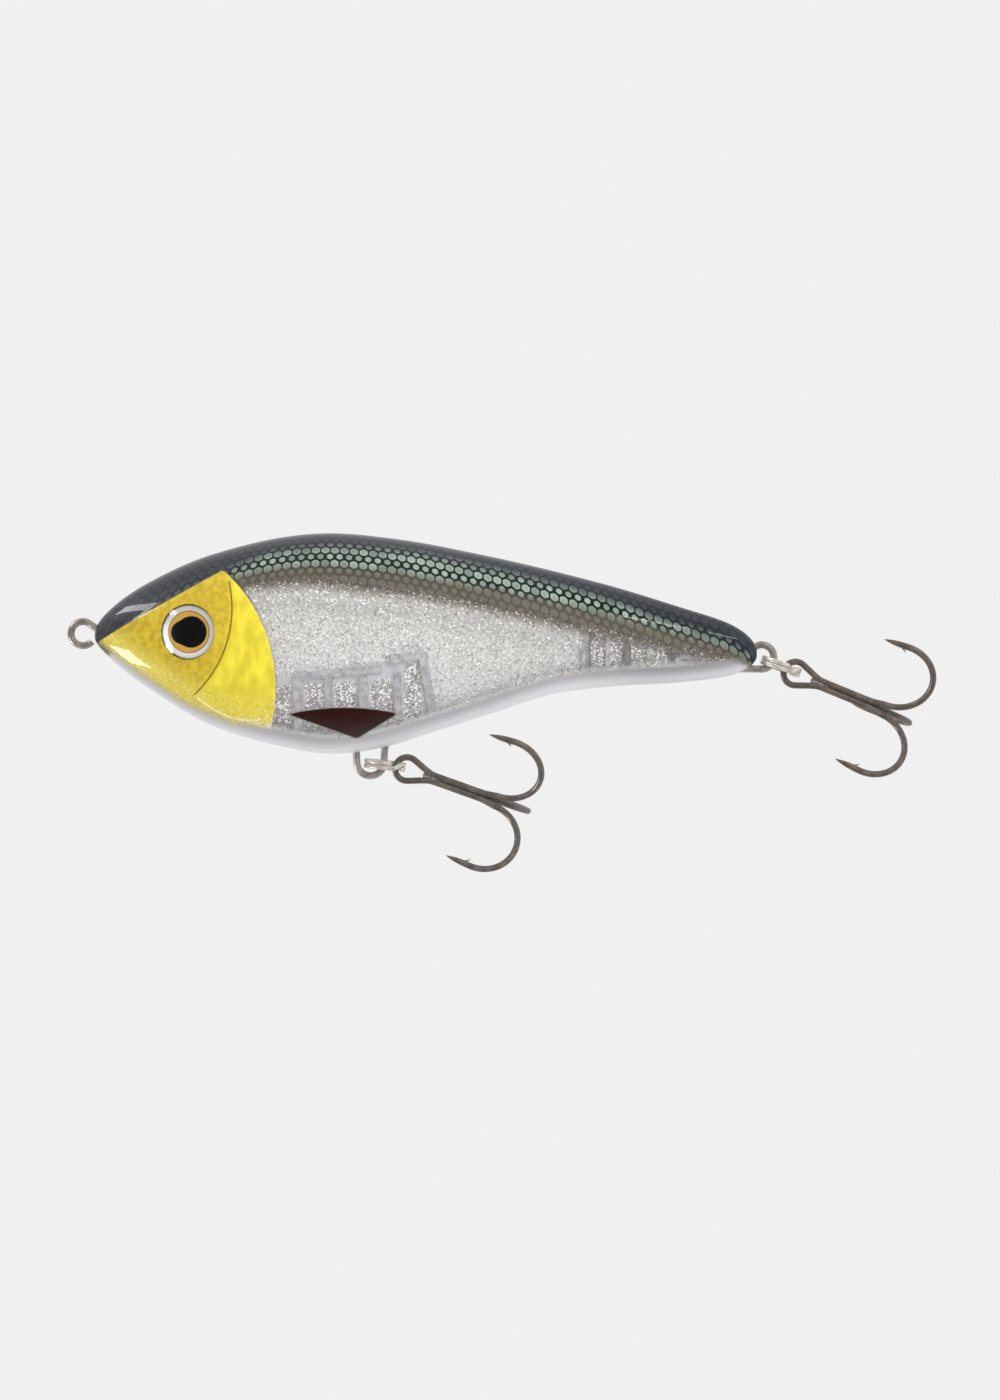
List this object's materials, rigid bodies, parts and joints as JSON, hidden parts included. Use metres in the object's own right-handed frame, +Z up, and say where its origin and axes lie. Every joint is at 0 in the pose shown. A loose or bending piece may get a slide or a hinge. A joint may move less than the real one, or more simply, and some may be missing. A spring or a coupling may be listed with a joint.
{
  "type": "swimbait lure",
  "caption": "Rigid fish-shaped swimbait with a hollow two-part body, wire eyes at nose, belly and tail, split rings and treble hooks that swing.",
  "frame": {"origin": "centre of the nose eye, where the line is tied", "axes": "+X from nose to tail, +Z up towards the back, -Y towards the lure's left side"},
  "size_m": [0.1562, 0.0268, 0.0609],
  "materials": {
    "painted_clear_shell": "clear plastic, painted inside and out: dark scaled back, glittered silver flanks, pearl belly, yellow cheeks, gloss topcoat",
    "stainless_wire": "drawn stainless wire, satin",
    "split_ring_steel": "flattened nickel-plated spring wire, bright",
    "dark_hook_wire": "black nickel plated carbon steel",
    "ballast_steel": "plain steel",
    "eye_foil": "printed reflective foil, orange and silver rings round a black pupil",
    "clear_dome": "clear cast resin, polished"
  },
  "bodies": {
    "lure_body": {"body_shell_left": "painted_clear_shell", "body_shell_right": "painted_clear_shell", "nose_eye": "stainless_wire", "belly_hanger": "stainless_wire", "tail_eye": "stainless_wire", "eye_foil_left": "eye_foil", "eye_foil_right": "eye_foil", "eye_dome_left": "clear_dome", "eye_dome_right": "clear_dome", "ballast_bar_1": "ballast_steel", "ballast_bar_2": "ballast_steel", "ballast_bar_3": "ballast_steel", "ballast_bar_4": "ballast_steel"},
    "belly_ring": {"belly_split_ring": "split_ring_steel"},
    "belly_hook": {"belly_treble_double": "dark_hook_wire", "belly_treble_third": "dark_hook_wire"},
    "tail_ring": {"tail_split_ring": "split_ring_steel"},
    "tail_hook": {"tail_treble_double": "dark_hook_wire", "tail_treble_third": "dark_hook_wire"},
    "front_rattle": {"rattle_ball_front": "ballast_steel"},
    "rear_rattle": {"rattle_ball_rear": "ballast_steel"}
  },
  "joints": [
    {"name": "belly_ring_swing", "type": "hinge", "parent": "lure_body", "child": "belly_ring", "pos_m": [0.0511, 0, -0.02334], "axis": [0, 1, 0], "range_deg": [-5, 135]},
    {"name": "belly_hook_yaw", "type": "hinge", "parent": "belly_ring", "child": "belly_hook", "pos_m": [0.05649, 0, -0.02375], "axis": [0.3371, 0, 0.9415], "range_deg": [-50, 50]},
    {"name": "tail_ring_swing", "type": "hinge", "parent": "lure_body", "child": "tail_ring", "pos_m": [0.1228, 0, -0.00475], "axis": [0, 1, 0], "range_deg": [-100, 100]},
    {"name": "tail_hook_yaw", "type": "hinge", "parent": "tail_ring", "child": "tail_hook", "pos_m": [0.12667, 0, -0.00641], "axis": [0.3795, 0, 0.9252], "range_deg": [-50, 50]},
    {"name": "front_rattle_slide", "type": "slide", "parent": "lure_body", "child": "front_rattle", "axis": [1, 0, 0], "range_m": [-0.0012, 0.0012]},
    {"name": "rear_rattle_slide", "type": "slide", "parent": "lure_body", "child": "rear_rattle", "axis": [1, 0, 0], "range_m": [-0.0013, 0.0013]}
  ]
}
